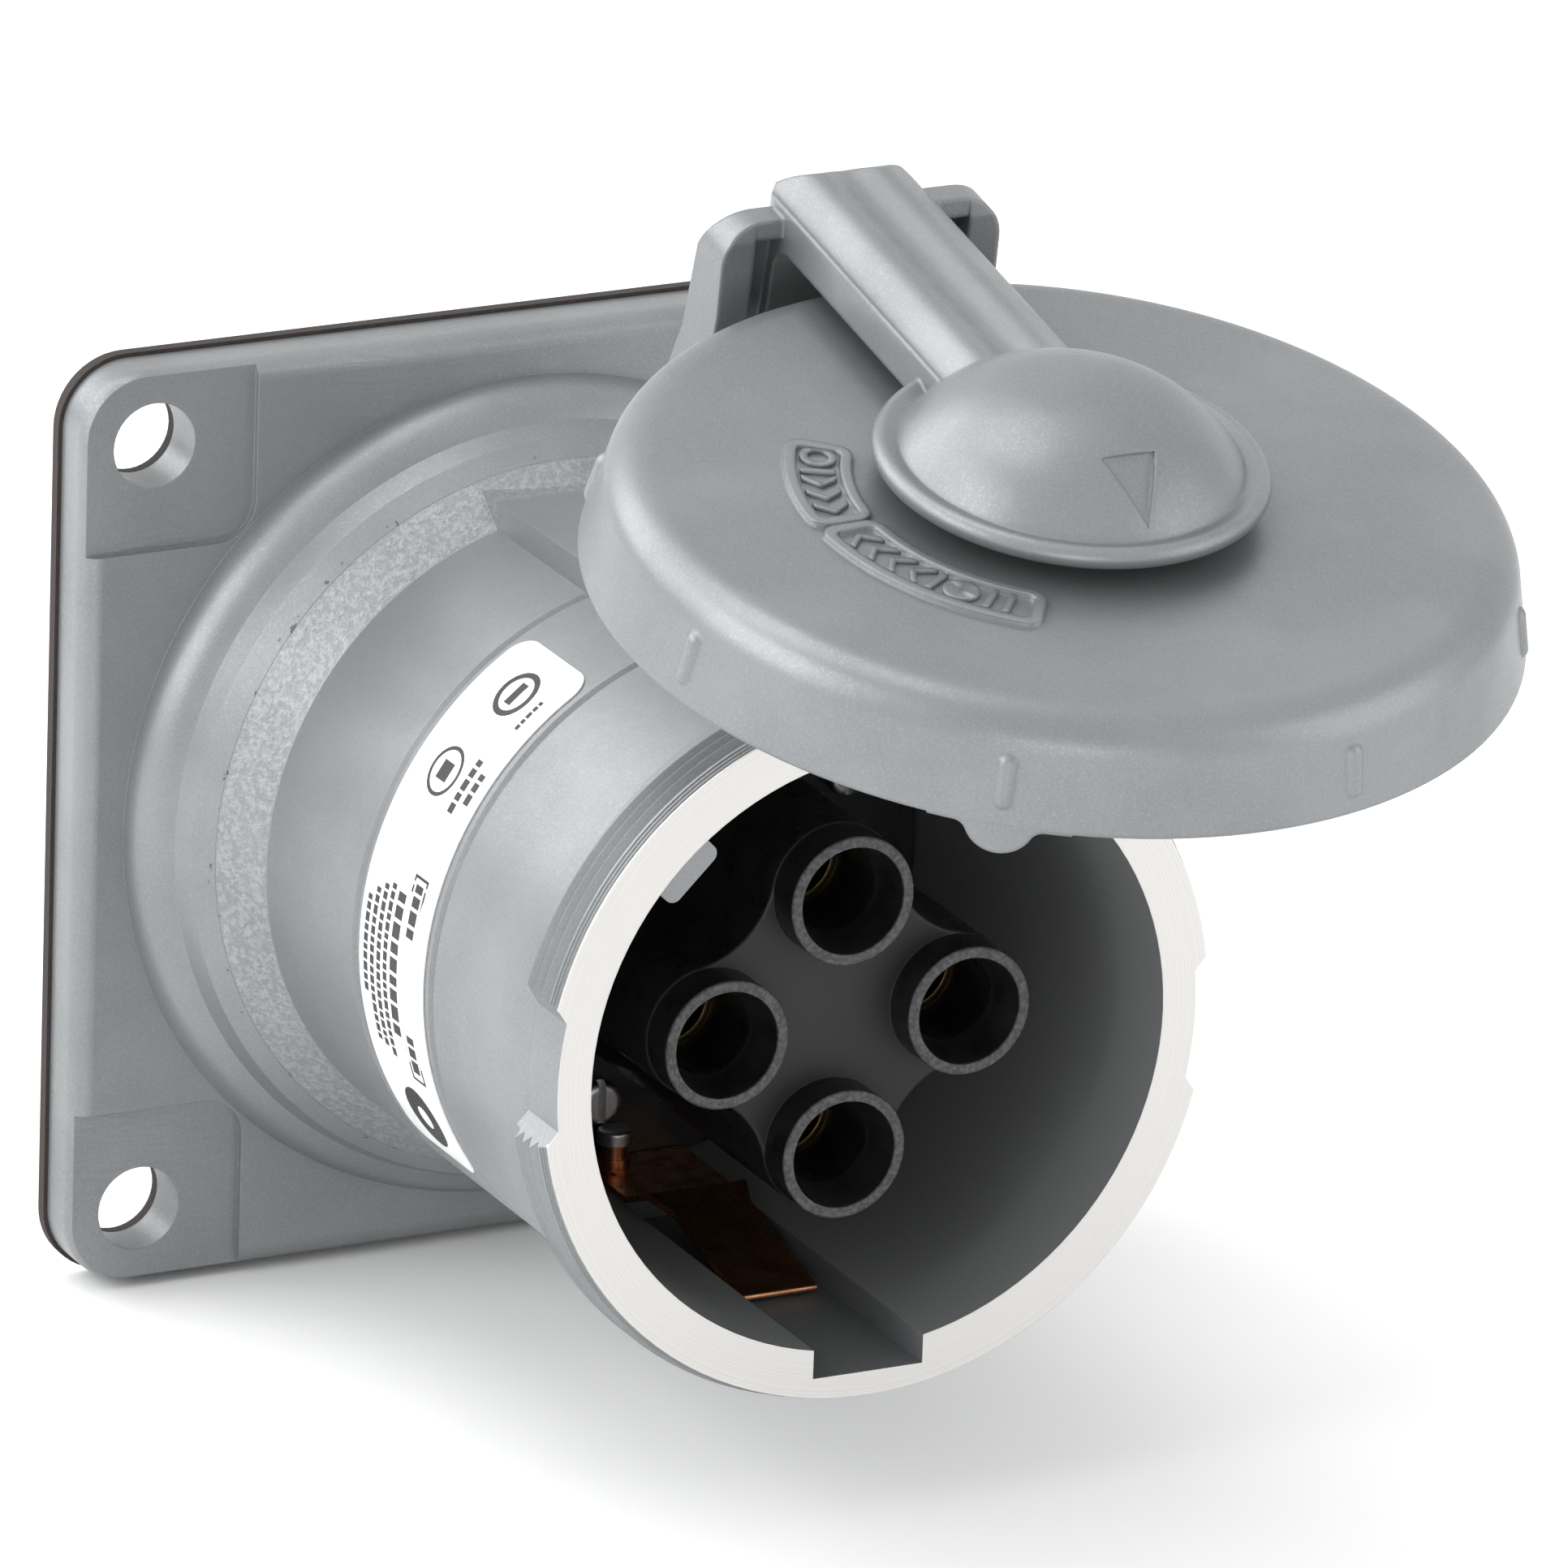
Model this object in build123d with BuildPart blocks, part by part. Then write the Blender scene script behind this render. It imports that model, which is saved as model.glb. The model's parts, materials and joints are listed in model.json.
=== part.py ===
"""Panel-mount power inlet, 60 A, four contacts, with a hinged and swivelling cap.

Frame: the panel face is the plane Y = 0, the barrel points to -Y, +Z is up, and the
barrel's axis passes through the origin.  Millimetres.  The lid is drawn open.
"""
from build123d import *
import os
from math import asin, cos, degrees, hypot, radians, sin

os.makedirs("parts", exist_ok=True)

# ---- driving dimensions -------------------------------------------------------------
GASKET_T = 1.5            # flange gasket
FLANGE = 113.4            # square flange
FLANGE_T = 7.0
FLANGE_R = 8.0
HOLE_PITCH = 95.25        # 3.75 in between mounting holes
HOLE_D = 10.4
PAD_EDGE = 34.8           # where the sunk corner pads start
PAD_DEPTH = 0.9

FLANGE_EDGE_R = 2.4       # rounding of the flange's front edge
CORNER_SPAN = 40.0        # size of the pad cut, which runs past the flange's corner

BORE_R = 36.4
BARREL_R = 40.15
RIM_Y = 105.2             # distance of the rim in front of the panel
RIM_R = 42.0
CREST_R = 43.1            # crests of the thread band
GROOVES = (49.7, 70.4)
PAD_HALF_W = 11.5         # hinge pad along the top of the barrel
PAD_TOP = 42.0

KEY_HALF_W = 7.0
KEY_FLOOR = 39.2
KEY_START = 52.0

SLEEVE_PITCH_R = 15.46    # from the barrel's axis to each contact
SLEEVE_R = 7.8
SLEEVE_TIP = 97.4
WEB_FACE = 92.6           # face of the insulator between its sleeves
PIN_R = 4.75              # a 9.5 mm plug pin
BASE_FRONT = 42.0         # insulator base disc
BASE_BACK = 34.0
TERMINAL_BACK = 10.0
SHOULDER_BACK = 24.0      # ring inside the barrel that the insulator's base stands on
BASE_SCREWS = ((27.9, 20), (27.9, 140), (27.9, 260))   # radius and angle of each
BASE_SCREW_END = 26.0
GROUND_AT = (30.0, 225.0)  # radius and angle of the ground screw
RIVET_X, RIVET_Y = -3.4, 44.8
LEDGE_R = 25.4            # inner radius of the ledge behind the insulator
CONTACT_TIP = 82.0        # front of the contacts, deep inside their sleeves

PIVOT_Y = 78.47           # lid pivot, in front of the panel
PIVOT_Z = 62.0            # lid pivot above the barrel's axis, and its arm's reach
PIVOT_TO_SKIRT = 18.11    # the closed cap's skirt edge lies this far in front of the pivot
OPEN_ANGLE = 78.34        # lid opening as drawn
HINGE_PIN_R = 3.0
HINGE_RUN = 0.06          # radial running clearance
KNUCKLE_R = 6.0
KNUCKLE_HALF_W = 11.4
EYE_IN = 11.7
ARM_HALF_W = 17.5

SKIRT_R = 52.95
SKIRT_IN_R = 48.6
CAP_FACE = 13.0
CAP_CEILING = 10.2
DOME_R = 22.3
STUD_R = 3.0

# ---- planes -------------------------------------------------------------------------
FRONT = Plane(origin=(0, 0, 0), x_dir=(1, 0, 0), z_dir=(0, -1, 0))
SIDE = Plane(origin=(0, 0, 0), x_dir=(0, 0, 1), z_dir=(1, 0, 0))
SWING = radians(OPEN_ANGLE)
CAP_Y = -PIVOT_Y - PIVOT_TO_SKIRT * cos(SWING) - PIVOT_Z * sin(SWING)
CAP_Z = PIVOT_Z + PIVOT_TO_SKIRT * sin(SWING) - PIVOT_Z * cos(SWING)
CAP = Plane(origin=(0, CAP_Y, CAP_Z), x_dir=(1, 0, 0), z_dir=(0, -cos(SWING), sin(SWING)))
CAP_SIDE = Plane(origin=CAP.origin, x_dir=CAP.y_dir, z_dir=(1, 0, 0))
CAP_AXIS = Axis(CAP.origin, CAP.z_dir)
SECTION = Plane(origin=CAP.origin, x_dir=(1, 0, 0), z_dir=-CAP.y_dir)   # across the arm

CONTACTS = {"top": 90, "left": 180, "right": 0, "bottom": 270}


def finish(part, name):
    """Label a piece and write its STEP file."""
    part.label = name
    export_step(part, f"parts/{name}.step")


def polar(radius, angle):
    return (radius * cos(radians(angle)), radius * sin(radians(angle)))


# ---- mounting flange ----------------------------------------------------------------
SHOULDER_R, SHOULDER_Y = 47.2, 14.6
EDGE_R, EDGE_Y = 44.3, 19.8            # where the flange's shoulder meets the barrel's cone
FILLET_END = 51.0
RING_R = BORE_R - 0.1                  # ring inside the barrel that the insulator stands on
FLANGE_FACE = GASKET_T + FLANGE_T

with BuildPart() as mounting_flange:
    with BuildSketch(FRONT.offset(GASKET_T)):
        RectangleRounded(FLANGE, FLANGE, FLANGE_R)
    extrude(amount=FLANGE_T)
    fillet(mounting_flange.faces().sort_by(Axis.Y)[0].edges(), FLANGE_EDGE_R)
    # sunk corner pads
    with BuildSketch(FRONT.offset(FLANGE_FACE - PAD_DEPTH)):
        with GridLocations(2 * PAD_EDGE + CORNER_SPAN, 2 * PAD_EDGE + CORNER_SPAN, 2, 2):
            RectangleRounded(CORNER_SPAN, CORNER_SPAN, 5)
    extrude(amount=PAD_DEPTH + 1, mode=Mode.SUBTRACT)
    # shoulder, and the ring with its inner ledge
    with BuildSketch(SIDE):
        with BuildLine():
            Polyline((RING_R, BASE_BACK), (LEDGE_R, BASE_BACK), (LEDGE_R, GASKET_T),
                     (FILLET_END, GASKET_T), (FILLET_END, FLANGE_FACE))
            RadiusArc((FILLET_END, FLANGE_FACE), (SHOULDER_R, SHOULDER_Y), -7.0)
            Polyline((SHOULDER_R, SHOULDER_Y), (46.2, 17.4), (EDGE_R, EDGE_Y), (RING_R, EDGE_Y),
                     (RING_R, BASE_BACK))
        make_face()
    revolve(axis=Axis.Y)
    with BuildSketch(FRONT):
        Circle(33.0)
    extrude(amount=SHOULDER_BACK, mode=Mode.SUBTRACT)
    with BuildSketch(FRONT):
        Circle(LEDGE_R)
        with GridLocations(HOLE_PITCH, HOLE_PITCH, 2, 2):
            Circle(HOLE_D / 2)
    extrude(amount=BASE_BACK, mode=Mode.SUBTRACT)
    with BuildSketch(FRONT.offset(BASE_SCREW_END)):
        for radius, angle in BASE_SCREWS:
            with Locations(polar(radius, angle)):
                Circle(1.75)
    extrude(amount=BASE_BACK - BASE_SCREW_END, mode=Mode.SUBTRACT)
    with BuildSketch(FRONT.offset(SHOULDER_BACK)):
        with Locations(polar(*GROUND_AT)):
            Circle(1.9)
    extrude(amount=6, mode=Mode.SUBTRACT)
finish(mounting_flange.part, "mounting_flange")

# ---- barrel -------------------------------------------------------------------------
CONE_Y = 25.2
BAND_Y = 97.4                          # rear of the thread band
CRESTS, CREST_PITCH, FIRST_CREST_Y = 3, 1.8, 98.5
VALLEY_R = 42.2
STEP_Y = 103.4                         # start of the turned steps behind the rim
STEPS = 4
NOTCH_ANGLES = (177.0, -3.0)
NOTCH_FLOOR_R, NOTCH_FLOOR_SPAN = 40.6, 18.3
NOTCH_TOP_R, NOTCH_TOP_SPAN = 46.0, 31.0
LUG_ANGLE = 135.0


def groove(depth):
    """Section points of a shallow V groove round the barrel."""
    return [(BARREL_R, depth - 0.7), (BARREL_R - 0.5, depth - 0.15),
            (BARREL_R - 0.5, depth + 0.15), (BARREL_R, depth + 0.7)]


def thread_band():
    """Section points of the band's crests and valleys."""
    points = []
    for index in range(CRESTS):
        crest_y = FIRST_CREST_Y + CREST_PITCH * index
        points += [(CREST_R, crest_y), (VALLEY_R, crest_y + CREST_PITCH / 2)]
    return points


def turned_steps():
    """Section points of the fine steps between the thread band and the rim."""
    fall, length = (42.6 - RIM_R) / STEPS, (RIM_Y - STEP_Y) / STEPS
    points = []
    for index in range(STEPS):
        radius, start = 42.6 - fall * index, STEP_Y + length * index
        points += [(radius, start), (radius, start + length)]
    return points + [(RIM_R, RIM_Y)]


def bayonet_ramp(rear_angle):
    """Half of the thread band's back, whose rear face leans along the barrel."""
    lean, middle, back_of_band, cut_span = 5.7, 98.7, 98.6, 120.0
    across = Vector(*polar(1, rear_angle))
    tilt = radians(lean)
    normal = Vector(across.X * sin(tilt), -cos(tilt), across.Y * sin(tilt))
    with BuildPart() as ramp:
        with BuildSketch(Plane(origin=(0, -middle, 0), z_dir=normal)):
            Circle(CREST_R - 0.9)
        extrude(amount=9)
        with BuildSketch(FRONT.offset(back_of_band)):
            Circle(cut_span / 2)
        extrude(amount=30, mode=Mode.SUBTRACT)
        with BuildSketch(FRONT.offset(80)):
            with Locations(Location((*polar(-cut_span / 2, rear_angle), 0), (0, 0, rear_angle))):
                Rectangle(cut_span, 200)
            Circle(BARREL_R - 1)
        extrude(amount=50, mode=Mode.SUBTRACT)
    return ramp.part


with BuildPart() as barrel:
    with BuildSketch(SIDE):
        with BuildLine():
            Polyline(
                (BORE_R, EDGE_Y), (EDGE_R, EDGE_Y), (BARREL_R, CONE_Y),
                *groove(GROOVES[0]), *groove(GROOVES[1]),
                (BARREL_R, BAND_Y), *thread_band(), *turned_steps(), (BORE_R, RIM_Y), close=True)
        make_face()
    revolve(axis=Axis.Y)
    for angle in (75, 255):
        add(bayonet_ramp(angle))
    # hinge pad and knuckle
    with BuildSketch(SIDE.offset(-PAD_HALF_W)):
        with BuildLine():
            Polyline((36.5, 20.5), (PAD_TOP, 20.5), (PAD_TOP, 88), (36.5, 88), close=True)
        make_face()
    extrude(amount=2 * PAD_HALF_W)
    with BuildSketch(SIDE.offset(-KNUCKLE_HALF_W)):
        with BuildLine():
            Polyline((38, 62), (PAD_TOP, 62), (PIVOT_Z + 1.5, PIVOT_Y - 5.7),
                     (PIVOT_Z + 1.5, PIVOT_Y + 5.7), (PAD_TOP, 87), (38, 87), close=True)
        make_face()
        with Locations((PIVOT_Z, PIVOT_Y)):
            Circle(KNUCKLE_R)
    extrude(amount=2 * KNUCKLE_HALF_W)
    # bore and keyway
    with BuildSketch(FRONT.offset(EDGE_Y)):
        Circle(BORE_R)
    extrude(amount=RIM_Y, mode=Mode.SUBTRACT)
    with BuildSketch(FRONT.offset(KEY_START)):
        with Locations((0, -KEY_FLOOR / 2)):
            Rectangle(2 * KEY_HALF_W, KEY_FLOOR)
    extrude(amount=RIM_Y, mode=Mode.SUBTRACT)
    # polarising lug inside the mouth
    with BuildSketch(FRONT.offset(95.5)):
        with Locations(Location((*polar(BORE_R - 0.8, LUG_ANGLE), 0), (0, 0, LUG_ANGLE))):
            RectangleRounded(4.2, 8.2, 1.2)
    extrude(amount=104.7 - 95.5)
    # bayonet notches, wider at the top than at the floor
    for angle in NOTCH_ANGLES:
        floor_low, floor_high = angle - NOTCH_FLOOR_SPAN / 2, angle + NOTCH_FLOOR_SPAN / 2
        top_low, top_high = angle - NOTCH_TOP_SPAN / 2, angle + NOTCH_TOP_SPAN / 2
        with BuildSketch(FRONT.offset(93.0)):
            with BuildLine():
                Polyline(polar(NOTCH_FLOOR_R, floor_low), polar(NOTCH_TOP_R, top_low),
                         polar(NOTCH_TOP_R + 4, angle), polar(NOTCH_TOP_R, top_high),
                         polar(NOTCH_FLOOR_R, floor_high))
                ThreePointArc(polar(NOTCH_FLOOR_R, floor_high), polar(NOTCH_FLOOR_R, angle),
                              polar(NOTCH_FLOOR_R, floor_low))
            make_face()
        extrude(amount=20, mode=Mode.SUBTRACT)
    # holes for the hinge pin and the ground spring's rivet
    with BuildSketch(SIDE.offset(-20)):
        with Locations((PIVOT_Z, PIVOT_Y)):
            Circle(HINGE_PIN_R + HINGE_RUN)
    extrude(amount=40, mode=Mode.SUBTRACT)
    with BuildSketch(Plane.XY.offset(-39)):
        with Locations((RIVET_X, -RIVET_Y)):
            Circle(1.55)
    extrude(amount=6, mode=Mode.SUBTRACT)
finish(barrel.part, "barrel")

# ---- flange gasket ------------------------------------------------------------------
with BuildPart() as flange_gasket:
    with BuildSketch(FRONT):
        RectangleRounded(FLANGE + 1.0, FLANGE + 1.0, FLANGE_R + 0.5)
        Circle(35.0, mode=Mode.SUBTRACT)
        with GridLocations(HOLE_PITCH, HOLE_PITCH, 2, 2):
            Circle(HOLE_D / 2, mode=Mode.SUBTRACT)
    extrude(amount=GASKET_T)
finish(flange_gasket.part, "flange_gasket")

# ---- insulators ---------------------------------------------------------------------
LOBE_R = SLEEVE_R + 0.2
VALLEY = 15.5             # from the axis to the web's edge between two lobes
DIAGONAL = SLEEVE_PITCH_R * cos(radians(45))
WAIST_R = (LOBE_R ** 2 - SLEEVE_PITCH_R ** 2 + 2 * DIAGONAL * VALLEY - VALLEY ** 2) / (
    2 * (VALLEY - DIAGONAL - LOBE_R))
WAIST_AT = VALLEY + WAIST_R
SOCKET_R = 6.4
JOIN_ANGLES = (45, 135, 225, 315)
JOIN_R = 22.0
REAR_R = LEDGE_R - 0.4
MOUTH_R = 6.5
MOUTH_DEPTH = 5.4
SLEEVE_BORE_R = PIN_R + 0.45
TIP_ROUNDING = 0.35

lobe, waist = Vector(SLEEVE_PITCH_R, 0), Vector(*polar(WAIST_AT, 45))
touch = lobe + (waist - lobe) * (LOBE_R / (LOBE_R + WAIST_R))
touch_r, touch_angle = hypot(touch.X, touch.Y), degrees(asin(touch.Y / hypot(touch.X, touch.Y)))
web_outline = [polar(touch_r, angle + side)
               for angle in (0, 90, 180, 270) for side in (-touch_angle, touch_angle)]

with BuildPart() as insulator_front:
    with BuildSketch(FRONT.offset(BASE_BACK)):
        Circle(BORE_R - 0.2)
    extrude(amount=BASE_FRONT - BASE_BACK)
    with BuildSketch(FRONT.offset(BASE_FRONT)):
        with BuildLine():
            Polyline(*web_outline, close=True)
        make_face()
        with PolarLocations(WAIST_AT, 4, start_angle=45):
            Circle(WAIST_R, mode=Mode.SUBTRACT)
        with PolarLocations(SLEEVE_PITCH_R, 4):
            Circle(LOBE_R)
    extrude(amount=WEB_FACE - BASE_FRONT)
    fillet(insulator_front.faces().filter_by(Axis.Y).group_by(Axis.Y)[0].edges(), 0.4)
    with BuildSketch(FRONT.offset(BASE_FRONT)):
        with PolarLocations(SLEEVE_PITCH_R, 4):
            Circle(SLEEVE_R)
    extrude(amount=SLEEVE_TIP - BASE_FRONT)
    fillet(insulator_front.faces().filter_by(Axis.Y).group_by(Axis.Y)[0].edges(), TIP_ROUNDING)
    with BuildSketch(FRONT.offset(BASE_BACK)):
        with PolarLocations(SLEEVE_PITCH_R, 4):
            Circle(SOCKET_R)
    extrude(amount=CONTACT_TIP + 0.5 - BASE_BACK, mode=Mode.SUBTRACT)
    with BuildSketch(FRONT.offset(CONTACT_TIP)):
        with PolarLocations(SLEEVE_PITCH_R, 4):
            Circle(SLEEVE_BORE_R)
    extrude(amount=20, mode=Mode.SUBTRACT)
    with Locations(FRONT.offset(SLEEVE_TIP - MOUTH_DEPTH / 2)):
        with PolarLocations(SLEEVE_PITCH_R, 4):
            Cone(SLEEVE_BORE_R, MOUTH_R, MOUTH_DEPTH, mode=Mode.SUBTRACT)
    with BuildSketch(FRONT.offset(BASE_BACK)):
        for radius, angle in BASE_SCREWS:
            with Locations(polar(radius, angle)):
                Circle(1.8)
        for angle in JOIN_ANGLES:
            with Locations(polar(JOIN_R, angle)):
                Circle(1.5)
    extrude(amount=BASE_FRONT - BASE_BACK, mode=Mode.SUBTRACT)
finish(insulator_front.part, "insulator_front")

with BuildPart() as insulator_rear:
    with BuildSketch(FRONT.offset(TERMINAL_BACK)):
        Circle(REAR_R)
        with PolarLocations(SLEEVE_PITCH_R, 4):
            Circle(SOCKET_R, mode=Mode.SUBTRACT)
        for angle in JOIN_ANGLES:
            with Locations(polar(JOIN_R, angle)):
                Circle(1.7, mode=Mode.SUBTRACT)
    extrude(amount=BASE_BACK - TERMINAL_BACK)
    for angle in CONTACTS.values():
        with BuildSketch(FRONT.offset(TERMINAL_BACK)):
            with Locations(Location((*polar(REAR_R, angle), 0), (0, 0, angle))):
                Rectangle(18, 8)
        extrude(amount=14, mode=Mode.SUBTRACT)
finish(insulator_rear.part, "insulator_rear")


# ---- contacts and their hardware ----------------------------------------------------
CONTACT_R = 6.2
SLIT = 0.8
SCREW_DEPTH = 17.0        # terminal screws, in front of the panel


def contact(angle):
    """A split tubular contact with a wire barrel at its rear end."""
    centre = polar(SLEEVE_PITCH_R, angle)
    with BuildPart() as piece:
        with BuildSketch(FRONT.offset(TERMINAL_BACK + 1)):
            with Locations(centre):
                Circle(CONTACT_R)
        extrude(amount=CONTACT_TIP - TERMINAL_BACK - 1)
        with BuildSketch(FRONT.offset(CONTACT_TIP - 34)):
            with Locations(centre):
                Circle(PIN_R + 0.02)
        extrude(amount=40, mode=Mode.SUBTRACT)
        with BuildSketch(FRONT.offset(TERMINAL_BACK)):
            with Locations(centre):
                Circle(4.2)
        extrude(amount=18, mode=Mode.SUBTRACT)
        with BuildSketch(FRONT.offset(CONTACT_TIP - 24)):
            with Locations(centre):
                Rectangle(20, SLIT)
                Rectangle(SLIT, 20)
        extrude(amount=30, mode=Mode.SUBTRACT)
        with BuildSketch(FRONT.offset(CONTACT_TIP - 9)):
            with Locations(centre):
                Circle(CONTACT_R + 1)
                Circle(CONTACT_R - 0.6, mode=Mode.SUBTRACT)
        extrude(amount=2.2, mode=Mode.SUBTRACT)
        outward = Vector(centre[0], 0, centre[1]).normalized()
        screw_at = Vector(centre[0], -SCREW_DEPTH, centre[1])
        with BuildSketch(Plane(origin=screw_at + outward * 2, z_dir=outward)):
            Circle(2.0)
        extrude(amount=10, mode=Mode.SUBTRACT)
    return piece.part


def terminal_screw(angle):
    """A socket set screw that clamps the wire, pointing at the contact's centre."""
    centre = polar(SLEEVE_PITCH_R, angle)
    outward = Vector(centre[0], 0, centre[1]).normalized()
    start = Vector(centre[0], -SCREW_DEPTH, centre[1]) + outward * 4.4
    with BuildPart() as screw:
        with BuildSketch(Plane(origin=start, z_dir=outward)):
            Circle(2.0)
        extrude(amount=5.2)
        with BuildSketch(Plane(origin=start + outward * 5.2, z_dir=outward)):
            RegularPolygon(1.2, 6)
        extrude(amount=-2, mode=Mode.SUBTRACT)
    return screw.part


def spring_ring(angle):
    """An open wire ring that squeezes the slit end of a contact."""
    with BuildPart() as ring:
        with BuildSketch(FRONT.offset(CONTACT_TIP - 8.8)):
            with Locations(polar(SLEEVE_PITCH_R, angle)):
                Circle(CONTACT_R)
                Circle(CONTACT_R - 0.6, mode=Mode.SUBTRACT)
            with Locations(polar(SLEEVE_PITCH_R + CONTACT_R, angle)):
                Rectangle(3, 3, mode=Mode.SUBTRACT)
        extrude(amount=1.8)
    return ring.part


for side, angle in CONTACTS.items():
    finish(contact(angle), f"contact_{side}")
finish(Compound([terminal_screw(a) for a in CONTACTS.values()]), "terminal_screws")
finish(Compound([spring_ring(a) for a in CONTACTS.values()]), "contact_spring_rings")


def pan_screw(plane, shank_r, length, head_r, head_t, slot):
    """A pan-head screw: its shank runs against the plane's normal, its head stands on it."""
    with BuildPart() as screw:
        with BuildSketch(plane):
            Circle(head_r)
        extrude(amount=head_t)
        fillet(screw.faces().sort_by(Axis(plane.origin, plane.z_dir))[-1].edges(), head_t * 0.45)
        with BuildSketch(plane):
            Circle(shank_r)
        extrude(amount=-length)
        with BuildSketch(plane.offset(head_t)):
            Rectangle(slot, 2 * head_r + 1)
        extrude(amount=-head_t * 0.5, mode=Mode.SUBTRACT)
    return screw.part


def seat(radius, angle, depth, facing):
    """A plane for a screw head on the barrel's cross-section, facing the front or the rear."""
    x, z = polar(radius, angle)
    return Plane(origin=(x, -depth, z), x_dir=(1, 0, 0), z_dir=(0, -facing, 0))


base_screws = [
    pan_screw(seat(radius, angle, BASE_FRONT, 1), 1.75, BASE_FRONT - BASE_SCREW_END, 2.8, 2.2, 0.9)
    for radius, angle in BASE_SCREWS
]
finish(Compound(base_screws), "base_screws")
join_screws = [
    pan_screw(seat(JOIN_R, a, TERMINAL_BACK, -1), 1.45, BASE_FRONT - TERMINAL_BACK - 1, 2.8, 2.0, 0.8)
    for a in JOIN_ANGLES
]
finish(Compound(join_screws), "insulator_screws")

# ---- ground spring ------------------------------------------------------------------
SPRING_T = 0.8
SPRING_Z = -35.3          # the riveted part's middle plane
SPRING_FRONT = 82.0
RIVET_HEAD_Z = -32.1

with BuildPart() as ground_spring:
    with BuildSketch(SIDE.offset(-6.8)):
        with BuildLine():
            Polyline((SPRING_Z, 42.3), (SPRING_Z, 55.0), (-33.2, 60.0), (-38.2, SPRING_FRONT - 0.4))
            offset(amount=SPRING_T / 2, side=Side.BOTH)
        make_face()
    extrude(amount=13.6)
    with BuildSketch(Plane.XY.offset(-45)):
        with BuildLine():
            Polyline((-6.8, -42), (6.8, -42), (6.8, -59), (5.0, -64), (5.0, -SPRING_FRONT),
                     (-5.0, -SPRING_FRONT), (-5.0, -64), (-6.8, -59), close=True)
        make_face()
    extrude(amount=20, mode=Mode.INTERSECT)
    with BuildSketch(Plane.XY.offset(-45)):
        with Locations((RIVET_X, -RIVET_Y)):
            Circle(1.6)
    extrude(amount=20, mode=Mode.SUBTRACT)
finish(ground_spring.part, "ground_spring")

# a long rivet with a collar on the spring and a capped head: start, radius and length of each
RIVET_STEPS = ((-38.5, 1.5, 7.0), (SPRING_Z + SPRING_T / 2, 1.9, 1.0), (RIVET_HEAD_Z, 2.1, 1.7))

with BuildPart() as ground_spring_rivet:
    for z, radius, length in RIVET_STEPS:
        with BuildSketch(Plane(origin=(RIVET_X, -RIVET_Y, z), z_dir=(0, 0, 1))):
            Circle(radius)
        extrude(amount=length)
    fillet(ground_spring_rivet.faces().sort_by(Axis.Z)[-1].edges(), 0.4)
finish(ground_spring_rivet.part, "ground_spring_rivet")

LUG_T = 1.6
with BuildPart() as ground_lug:
    with BuildSketch(FRONT.offset(SHOULDER_BACK - LUG_T)):
        with Locations(Location((*polar(*GROUND_AT), 0), (0, 0, GROUND_AT[1]))):
            Rectangle(4.8, 10)
            Circle(1.9, mode=Mode.SUBTRACT)
    extrude(amount=LUG_T)
    barrel_at = GROUND_AT[1] + 11
    with BuildSketch(FRONT.offset(SHOULDER_BACK - LUG_T)):
        with Locations(polar(GROUND_AT[0], barrel_at)):
            Circle(2.7)
            Circle(1.9, mode=Mode.SUBTRACT)
    extrude(amount=-9)
finish(ground_lug.part, "ground_lug")
finish(pan_screw(seat(*GROUND_AT, SHOULDER_BACK - LUG_T, -1), 1.9, 6.6, 2.7, 2.2, 0.9), "ground_screw")

# ---- nameplate ----------------------------------------------------------------------
LABEL_Y = (51.4, 68.6)
LABEL_ANGLES = (119.5, 217.0)
LABEL_T = 0.2
label_section = [(BARREL_R + 0.02, LABEL_Y[0]), (BARREL_R + LABEL_T, LABEL_Y[0]),
                 (BARREL_R + LABEL_T, LABEL_Y[1]), (BARREL_R + 0.02, LABEL_Y[1])]
label_start_x, label_start_z = polar(1, LABEL_ANGLES[0])
label_start = Plane(origin=(0, 0, 0), x_dir=(label_start_x, 0, label_start_z),
                    z_dir=(label_start_z, 0, -label_start_x))
with BuildPart() as nameplate:
    with BuildSketch(label_start):
        with BuildLine():
            Polyline(*label_section, close=True)
        make_face()
    revolve(axis=Axis((0, 0, 0), (0, -1, 0)), revolution_arc=LABEL_ANGLES[1] - LABEL_ANGLES[0])
    short = nameplate.edges().filter_by(lambda e: e.length < 2 * LABEL_T)
    fillet(short, 3.0)
finish(nameplate.part, "nameplate")

# ---- lid arm ------------------------------------------------------------------------
EYE = (PIVOT_Z, -PIVOT_TO_SKIRT)
BEAM_TOP = 22.4
BEAM_UNDER = 15.6
BEAM_HALF_W = 10.0
BEAM_END = 63.6
FOOT_FRONT = 55.4
HOOD_TOP = 19.3
HOOD_CORNER_R = 5.0
EAR_T = 4.0
THRUST = CAP_FACE + 0.1
LIP_R = 1.3               # rolled lip round the dome
DOME_EDGE = DOME_R - 2.9
DOME_FOOT = 17.7
CROWN_R, CROWN_START = 7.0, 26.5       # the dome's flatter crown
DOME_TOP = 27.3
CROWN_SPHERE = (CROWN_R ** 2 + (DOME_TOP - CROWN_START) ** 2) / (2 * (DOME_TOP - CROWN_START))
CROWN_HALF = asin(CROWN_R / CROWN_SPHERE) / 2
CROWN_MID = (CROWN_SPHERE * sin(CROWN_HALF), DOME_TOP - CROWN_SPHERE * (1 - cos(CROWN_HALF)))
STUD_TOP = 22.0


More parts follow.
